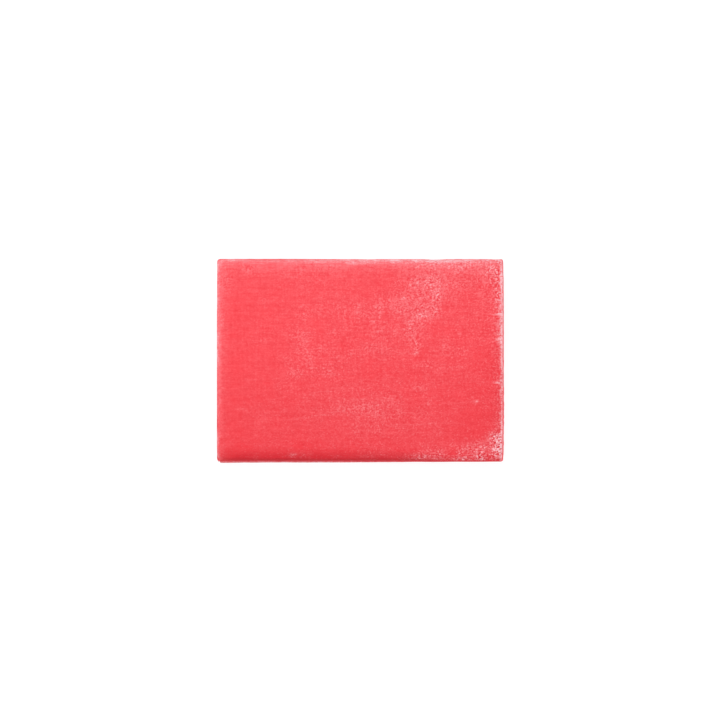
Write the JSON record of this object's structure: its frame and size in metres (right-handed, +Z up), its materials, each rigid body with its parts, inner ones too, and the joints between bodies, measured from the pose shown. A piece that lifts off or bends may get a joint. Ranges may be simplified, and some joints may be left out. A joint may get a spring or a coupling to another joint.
{
  "type": "clay bar",
  "caption": "Rectangular bar of soft red detailing clay with a gently crowned top, rolled long edges and a knife-cut end, lying flat.",
  "frame": {"origin": "centre of the flat base that the bar lies on", "axes": "+X along the bar's length towards its knife-cut end, +Y across its width, +Z up out of the crowned top"},
  "size_m": [0.075, 0.0532, 0.015],
  "materials": {
    "clay": "matte"
  },
  "bodies": {
    "root": {"clay_block": "clay"}
  },
  "joints": []
}
